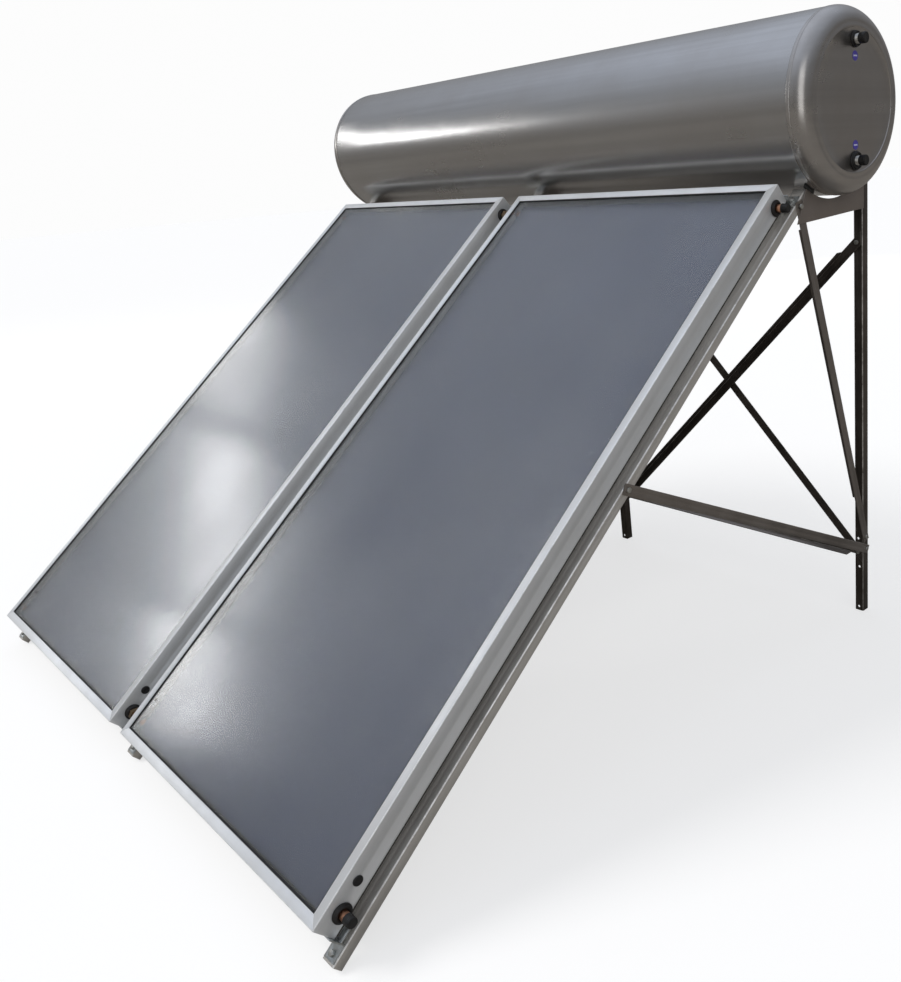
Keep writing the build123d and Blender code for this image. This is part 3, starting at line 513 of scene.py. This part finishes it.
bracket_zinc = galvanised("bracket_zinc", (0.72, 0.75, 0.75), (0.50, 0.53, 0.53), 110.0)
fastener_zinc = galvanised("fastener_zinc", (0.66, 0.66, 0.62), (0.48, 0.48, 0.45), 420.0)

# %% Copper, brass and the steel nipples
def tube_metal(name, clean, aged, rough):
    made, tree, shader, where = finish(name, metallic=1.0)
    film = use(tree, dust_film, where, Cloud_Scale=45.0, Speck_Scale=700.0)
    link(tree, mixed(tree, film.outputs["Film"], clean, aged), shader.inputs["Base Color"])
    link(tree, spread(tree, film.outputs["Film"], 0, 1, rough, rough + 0.22), shader.inputs["Roughness"])
    return made


copper = tube_metal("copper", (0.80, 0.42, 0.26), (0.42, 0.20, 0.12), 0.26)
union_brass = tube_metal("union_brass", (0.34, 0.24, 0.14), (0.16, 0.11, 0.07), 0.34)
nipple_steel = tube_metal("nipple_steel", (0.72, 0.72, 0.70), (0.45, 0.44, 0.42), 0.22)
vessel_steel = tube_metal("vessel_steel", (0.56, 0.57, 0.58), (0.42, 0.42, 0.42), 0.30)
back_sheet = tube_metal("back_sheet", (0.60, 0.61, 0.62), (0.45, 0.45, 0.45), 0.36)

# %% Rubber and moulded plastic
def moulded(name, colour, rough, grain_scale, grain_depth, dusty=(0.11, 0.105, 0.10)):
    made, tree, shader, where = finish(name, Specular_IOR_Level=0.35)
    grain = use(tree, moulded_grain, where, Scale=grain_scale)
    film = use(tree, dust_film, where, Cloud_Scale=30.0, Speck_Scale=600.0)
    link(tree, mixed(tree, sums(tree, "MULTIPLY", film.outputs["Film"], 0.12), colour, dusty),
         shader.inputs["Base Color"])
    link(tree, spread(tree, grain.outputs["Grain"], 0.3, 0.7, rough - 0.08, rough + 0.08),
         shader.inputs["Roughness"])
    relief(tree, shader, grain.outputs["Grain"], 0.6, grain_depth)
    return made


seal_rubber = moulded("glass_seal_rubber", (0.010, 0.010, 0.011), 0.62, 700.0, 0.0003)
grommet_rubber = moulded("grommet_rubber", (0.009, 0.008, 0.008), 0.48, 800.0, 0.0003)
collar_rubber = moulded("collar_rubber", (0.008, 0.008, 0.0085), 0.34, 700.0, 0.0003)
pad_rubber = moulded("pad_rubber", (0.03, 0.03, 0.03), 0.7, 500.0, 0.0005)
vent_plastic = moulded("vent_plastic", (0.007, 0.007, 0.0075), 0.38, 900.0, 0.0002)
cap_plastic = moulded("cap_plastic", (0.008, 0.008, 0.0085), 0.33, 900.0, 0.0002)
foam = moulded("foam", (0.78, 0.70, 0.48), 0.8, 300.0, 0.0008, (0.6, 0.5, 0.3))

# %% Mineral wool, coloured near black: painted shade where it shows between the casings and the rails
wool_painted_shade, tree, shader, where = finish("mineral_wool", rough=0.95)
lines = use(tree, drawn_lines, where, Fineness=220.0, Stretch=6.0)
link(tree, mixed(tree, lines.outputs["Fine"], (0.030, 0.028, 0.024), (0.060, 0.055, 0.045)),
     shader.inputs["Base Color"])
relief(tree, shader, lines.outputs["Fine"], 0.8, 0.002)

# %% Port marks: a plain violet disc with one pale bar
port_mark, tree, shader, where = finish("mark_plastic", rough=0.3)
mark_out = 0.116  # middle of a mark above or below the tank's axis
heights = tree.nodes.new("ShaderNodeSeparateXYZ")
link(tree, where, heights.inputs[0])
from_axis = sums(tree, "ABSOLUTE", sums(tree, "SUBTRACT", heights.outputs["Z"], tank_mid.z), 0)
from_mark = sums(tree, "ABSOLUTE", sums(tree, "SUBTRACT", from_axis, mark_out), 0)
bar = spread(tree, from_mark, 0.0016, 0.0022, 1, 0)
from_mid = sums(tree, "ABSOLUTE", sums(tree, "SUBTRACT", heights.outputs["Y"], tank_mid.y), 0)
short = spread(tree, from_mid, 0.0085, 0.0092, 1, 0)
film = use(tree, dust_film, where, Cloud_Scale=60.0, Speck_Scale=500.0)
violet = mixed(tree, film.outputs["Film"], (0.055, 0.045, 0.30), (0.085, 0.07, 0.36))
link(tree, mixed(tree, sums(tree, "MULTIPLY", bar, short), violet, (0.55, 0.56, 0.70)),
     shader.inputs["Base Color"])
print("finishes:", len(bpy.data.materials))

# %% [markdown]
# ## Edges that catch light
# Sheet and angle are bent, not carved, so their corners are round, and a thin bright line runs along each
# one. A copy of the CAD mesh is merged, its flat faces are joined again, and a bevel rounds the edges:
# a wide one on the bends, where two broad faces meet, and a narrow one on the cut edges. The new faces
# are painted with an attribute, which the edge wear and highlight group reads; it lightens them, partly
# as wear and partly as a painted highlight along each edge.

# %% Helpers that round a copy of a CAD node
def keep(bm, name, material, body, replaces=(), smooth=35):
    """Makes the finished mesh an object that rides on a body and stands for its CAD nodes."""
    mesh = bpy.data.meshes.new(name)
    bm.to_mesh(mesh)
    bm.free()
    mesh.polygons.foreach_set("use_smooth", [True] * len(mesh.polygons))
    mesh.set_sharp_from_angle(angle=radians(smooth))
    piece = bpy.data.objects.new(name, mesh)
    bpy.context.scene.collection.objects.link(piece)
    mesh.materials.append(material)
    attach(piece, body)
    if replaces:
        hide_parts(*replaces)
    return piece


def breadth(face, edge):
    """How wide a face is, measured across one of its edges."""
    return face.calc_area() / max(edge.calc_length(), 1e-6)


broad_face, long_edge = 0.012, 0.03  # an edge longer than this between faces wider than this is a bend


def eased(node, material, slot, cut, bend=None):
    """A copy of a CAD node with round bends and softened cut edges."""
    bm = bmesh.new()
    bm.from_mesh(nodes[node].data)
    bmesh.ops.remove_doubles(bm, verts=bm.verts, dist=1e-5)
    bmesh.ops.dissolve_limit(bm, angle_limit=radians(0.5), verts=bm.verts, edges=bm.edges)
    paint = bm.faces.layers.float.new("eased")
    sharp = [e for e in bm.edges if e.is_manifold and e.calc_face_angle() > radians(30)]
    bends = []
    if bend:
        bends = [e for e in sharp
                 if min(breadth(f, e) for f in e.link_faces) > broad_face and e.calc_length() > long_edge]
        made = bmesh.ops.bevel(bm, geom=bends, offset=bend, segments=4, profile=0.5, affect="EDGES",
                               material=-1, clamp_overlap=True)
        for face in made["faces"]:
            face[paint] = 1.0
        sharp = [e for e in bm.edges if e.is_manifold and e.calc_face_angle() > radians(40)]
    made = bmesh.ops.bevel(bm, geom=sharp, offset=cut, segments=2, profile=0.5, affect="EDGES",
                           material=-1, clamp_overlap=True)
    for face in made["faces"]:
        face[paint] = 1.0
    faces = len(bm.faces)
    keep(bm, node + "_eased", material, "heater", (node,))
    return faces, len(bends)


# %% Round the stand
sheet_cut, angle_bend, plate_bend = 0.0004, 0.0028, 0.0026
stand = (
    (("rear_leg_left", "rear_leg_mid", "rear_leg_right", "cross_brace_rising", "cross_brace_falling"),
     stand_steel, "stand_steel", sheet_cut, angle_bend),
    (("side_struts", "side_braces", "rear_tie"), side_steel_lit, "stand_steel", sheet_cut, angle_bend),
    (("rail_left", "rail_mid", "rail_right"), rail_steel, "rail_steel", sheet_cut, angle_bend),
    (("saddle_left", "saddle_mid", "saddle_right"), saddle_steel, "saddle_steel", sheet_cut, plate_bend),
    (("foot_brackets", "top_brackets"), bracket_zinc, "bracket_zinc", sheet_cut, plate_bend),
    (("bolts", "nuts", "brace_spacers"), fastener_zinc, "fastener_zinc", 0.0006, None),
    (("saddle_pads",), pad_rubber, "pad_rubber", 0.0008, None))
for members, *recipe in stand:
    for node in members:
        print(node, "faces and bends", eased(node, *recipe))

# %% Round the casings
for side_name in ("left", "right"):
    for edge, paint in (("west", casing_sides), ("east", casing_sides), ("low", casing_rows),
                        ("high", casing_rows)):
        node = f"panel_{side_name}_frame_{edge}"
        print(node, "faces and bends", eased(node, paint, "casing_aluminium", 0.0005, 0.0022))

# %% [markdown]
# ## Turned pieces
# The tank, its ends, the port fittings and the caps are all round, so each is one outline spun about its
# axis. The outline is a short list of distances along the axis and radii. It is spun once and then
# placed.

# %% Helpers that spin an outline
def spun(outline, steps):
    """Spins (along, radius) points about the X axis; returns the bmesh."""
    bm = bmesh.new()
    points = [bm.verts.new((along, 0, radius)) for along, radius in outline]
    lines = [bm.edges.new(pair) for pair in zip(points, points[1:])]
    bmesh.ops.spin(bm, geom=points + lines, cent=(0, 0, 0), axis=(1, 0, 0), angle=2 * pi, steps=steps,
                   use_merge=True)
    bmesh.ops.remove_doubles(bm, verts=bm.verts, dist=1e-6)
    bmesh.ops.recalc_face_normals(bm, faces=bm.faces)
    return bm


def arc(centre, radius, start, stop, steps):
    """Outline points on an arc; angles in degrees from the axis."""
    return [(centre[0] + radius * cos(radians(start + (stop - start) * i / steps)),
             centre[1] + radius * sin(radians(start + (stop - start) * i / steps))) for i in range(steps + 1)]


def placed(bm, at, way):
    """Turns a piece spun about +X to face way (+1 or -1 along X) and moves it."""
    turn = Matrix.Identity(4) if way > 0 else Matrix.Rotation(pi, 4, "Z")
    bmesh.ops.transform(bm, matrix=Matrix.Translation(at) @ turn, verts=bm.verts)
    return bm


def gather(whole, part):
    """Adds a part's mesh to a whole."""
    mesh = bpy.data.meshes.new("part")
    part.to_mesh(mesh)
    part.free()
    whole.from_mesh(mesh)
    bpy.data.meshes.remove(mesh)


# %% The tank's jacket, a rolled tube with a hemmed lip at each end
ring_gap = 0.2
hem = [(tank_half - 0.0002, tank_r - 0.0024), (tank_half - 0.0003, tank_r - 0.0020),
       (tank_half - 0.0012, tank_r - 0.0008), (tank_half - 0.0026, tank_r - 0.0002),
       (tank_half - 0.0042, tank_r)]
outline = hem + [(tank_half - ring_gap * k, tank_r) for k in range(1, 6)]
outline += [(-a, r) for a, r in reversed(outline)]
outline.append(hem[0])
jacket = spun(outline, steps=160)
print("jacket faces", len(jacket.faces))
keep(placed(jacket, tank_mid, 1), "tank_jacket", tank_steel, "heater", ("tank_shell",), 25)

# %% The pressed ends: rim, round shoulder, shallow valley, flat ring, sunk disc
rim_r, rim_depth, shoulder, flat_ring = tank_r + 0.0009, 0.058, 0.052, 0.011
disc_x = rim_depth - 0.0025
disc_r = rim_r - shoulder - flat_ring
for side_name, way in (("left", -1), ("right", 1)):
    outer = [(0.0002, rim_r - 0.0030), (0.0002, rim_r - 0.0009), (0.0006, rim_r - 0.0002), (0.0014, rim_r),
             (0.0098, rim_r - 0.0002), (0.0106, rim_r - 0.0011), (0.0118, rim_r - 0.0012),
             (0.0132, rim_r - 0.0005)]
    outer += arc((0.006, rim_r - shoulder), shoulder, 80, 12, 16)
    outer += [(rim_depth - 0.0012, rim_r - shoulder + 0.006), (rim_depth - 0.0014, rim_r - shoulder + 0.002),
              (rim_depth - 0.0004, rim_r - shoulder - 0.003), (rim_depth, disc_r + 0.005),
              (rim_depth, disc_r + 0.002), (rim_depth - 0.0005, disc_r + 0.0006),
              (rim_depth - 0.002, disc_r - 0.0002), (disc_x, disc_r - 0.0014), (disc_x, disc_r - 0.03),
              (disc_x, 0.1), (disc_x, 0.0)]
    inner = [(rim_depth - 0.0037, 0.0), (rim_depth - 0.0037, disc_r), (rim_depth - 0.003, rim_r - shoulder)]
    inner += arc((0.006, rim_r - shoulder), shoulder - 0.0030, 12, 90, 10)
    pressed = spun(outer + inner + [outer[0]], steps=160)
    print("end faces", len(pressed.faces))
    keep(placed(pressed, Vector((way * tank_half, tank_mid.y, tank_mid.z)), way), f"tank_end_{side_name}",
         cap_steel, "heater", (f"tank_end_cap_{side_name}",), 28)

# %% Port fittings: a nipple whose thread is drawn as plain rings, and its rubber collar
flat_x = tank_half + disc_x
nipple_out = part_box("tank_port_nipples")[1].x - flat_x
nipple_in, nipple_r, nipple_bore = -0.073, 0.0132, 0.010
turn_gap, root_r = 0.0018, 0.0123
thread = [(nipple_in, nipple_bore), (nipple_in, nipple_r), (0.002, nipple_r)]
turns = int((nipple_out - 0.004) / turn_gap)
for i in range(turns):
    x = 0.003 + turn_gap * i
    thread += [(x, nipple_r), (x + 0.0009, root_r)]
thread += [(nipple_out - 0.0012, nipple_r), (nipple_out, 0.0124), (nipple_out, 0.0106),
           (nipple_out - 0.0008, nipple_bore), (nipple_in, nipple_bore)]
low_ring = [(0.0002, 0.0135), (0.0002, 0.0262), (0.0012, 0.0270), (0.0028, 0.0270), (0.0042, 0.0262),
            (0.0048, 0.0248), (0.0062, 0.0242), (0.0084, 0.0238), (0.0096, 0.0228), (0.0100, 0.0212),
            (0.0096, 0.0196), (0.0078, 0.0186), (0.0066, 0.0178), (0.0064, 0.0140), (0.0060, 0.0135),
            (0.0002, 0.0135)]
high_ring = [(x, r if r < 0.014 else 0.0135 + (r - 0.0135) * 0.63) for x, r in low_ring]
rings = {"low": low_ring, "high": high_ring}
nipple_all, collar_all = bmesh.new(), bmesh.new()
for side_name, way in (("left", -1), ("right", 1)):
    for end in ("low", "high"):
        port = middle(f"port_cap_{side_name}_{end}")
        at = Vector((way * flat_x, port.y, port.z))
        gather(nipple_all, placed(spun(thread, 40), at, way))
        gather(collar_all, placed(spun(rings[end], 48), at, way))
keep(nipple_all, "tank_nipples", nipple_steel, "heater", ("tank_port_nipples",), 40)
keep(collar_all, "tank_collars", collar_rubber, "heater", ("tank_port_collars",), 40)
print("ports at", round(flat_x, 4), "thread turns", turns)

# %% Pull-off caps, with a rolled rim and grip ribs
cap_steps, ribs = 96, 24


def grip_cap(name, bore, wall, length, rim_out):
    """A cup on its CAD node's place: mouth at the rim, closed end outwards."""
    low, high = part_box(name)
    way = 1 if high.x > 0 else -1
    at = Vector((low.x if way > 0 else high.x, (low.y + high.y) / 2, (low.z + high.z) / 2))
    r = bore + wall
    cup = [(0.0, bore), (0.0, r + rim_out - 0.0006), (0.0006, r + rim_out), (0.0024, r + rim_out),
           (0.0030, r + rim_out - 0.0002), (0.0034, r), (length - 0.0022, r), (length - 0.0010, r - 0.0005),
           (length - 0.0003, r - 0.0016), (length, r - 0.0028), (length - 0.0003, r - 0.005),
           (length - 0.0003, 0.0), (length - wall, 0.0), (length - wall, bore), (0.0, bore)]
    bm = spun(cup, cap_steps)
    barrel_face = length * 0.5 * (2 * pi * r / cap_steps) * 0.8
    grips = []
    for face in bm.faces:
        mid = face.calc_center_median()
        if abs(sqrt(mid.y ** 2 + mid.z ** 2) - r) < 0.0004 and face.calc_area() > barrel_face:
            grips.append(face)
    grips.sort(key=lambda f: atan2(f.calc_center_median().y, f.calc_center_median().z))
    chosen = grips[::cap_steps // ribs]
    bmesh.ops.inset_individual(bm, faces=chosen, thickness=0.00018, depth=-0.00045)
    print(name, "ribs", len(chosen))
    keep(placed(bm, at, way), name + "_moulded", cap_plastic, name, (name,), 38)


for side_name in ("left", "right"):
    for end in ("low", "high"):
        grip_cap(f"port_cap_{side_name}_{end}", bore=0.01325, wall=0.0016, length=0.019, rim_out=0.0)
        grip_cap(f"stub_cap_{side_name}_{end}", bore=0.01105, wall=0.0012, length=0.021, rim_out=0.0006)

# %% Grommets round the header stubs, and the vent plugs
grommet_all, vent_all = bmesh.new(), bmesh.new()
headers = {"low": middle("panel_right_header_low"), "high": middle("panel_right_header_high")}
vents = middle("vent_plugs")
lip = [(-0.0045, 0.0112), (-0.0045, 0.0148), (0.0002, 0.0148), (0.0002, 0.0224), (0.0010, 0.0230),
       (0.0024, 0.0230), (0.0036, 0.0222), (0.0046, 0.0206), (0.0056, 0.0190), (0.0078, 0.0180),
       (0.0088, 0.0168), (0.0089, 0.0150), (0.0082, 0.0136), (0.0060, 0.0126), (0.0056, 0.0112),
       (-0.0045, 0.0112)]
plug = [(-0.0055, 0.0), (-0.0055, 0.0040), (-0.0045, 0.0048), (0.0002, 0.0048), (0.0002, 0.0116),
        (0.0008, 0.0120), (0.0016, 0.0117), (0.0028, 0.0104), (0.0034, 0.0088), (0.0032, 0.0066),
        (0.0022, 0.0052), (0.0020, 0.0)]
for side_name in ("left", "right"):
    for wall_name, way in (("west", -1), ("east", 1)):
        low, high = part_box(f"panel_{side_name}_frame_{wall_name}")
        face_x = low.x if way < 0 else high.x
        for end in ("low", "high"):
            at = Vector((face_x, headers[end].y, headers[end].z))
            gather(grommet_all, placed(spun(lip, 48), at, way))
        at = Vector((face_x, vents.y, vents.z))
        gather(vent_all, placed(spun(plug, 36), at, way))
keep(grommet_all, "grommets_moulded", grommet_rubber, "heater", ("header_grommets",), 40)
keep(vent_all, "vents_moulded", vent_plastic, "heater", ("vent_plugs",), 40)

# %% [markdown]
# ## Pieces kept from the CAD model
# Flat and hidden pieces already have the right shape. They only get their finishes, put straight into
# their own material slots.

# %% Assign finishes to the CAD pieces
by_slot = {"collector_glass": glass, "glass_seal_rubber": seal_rubber, "absorber_coating": absorber,
           "copper": copper, "union_brass": union_brass, "mineral_wool": wool_painted_shade, "back_sheet": back_sheet,
           "foam": foam, "vessel_steel": vessel_steel, "mark_plastic": port_mark}
slots = {s["node"]: s["material_slot"] for s in frame["record"]["subparts"]}
dressed = 0
for name, node in nodes.items():
    if slots[name] in by_slot and not node.hide_render:
        node.data.materials.clear()
        node.data.materials.append(by_slot[slots[name]])
        dressed += 1
print("dressed", dressed, "CAD nodes")
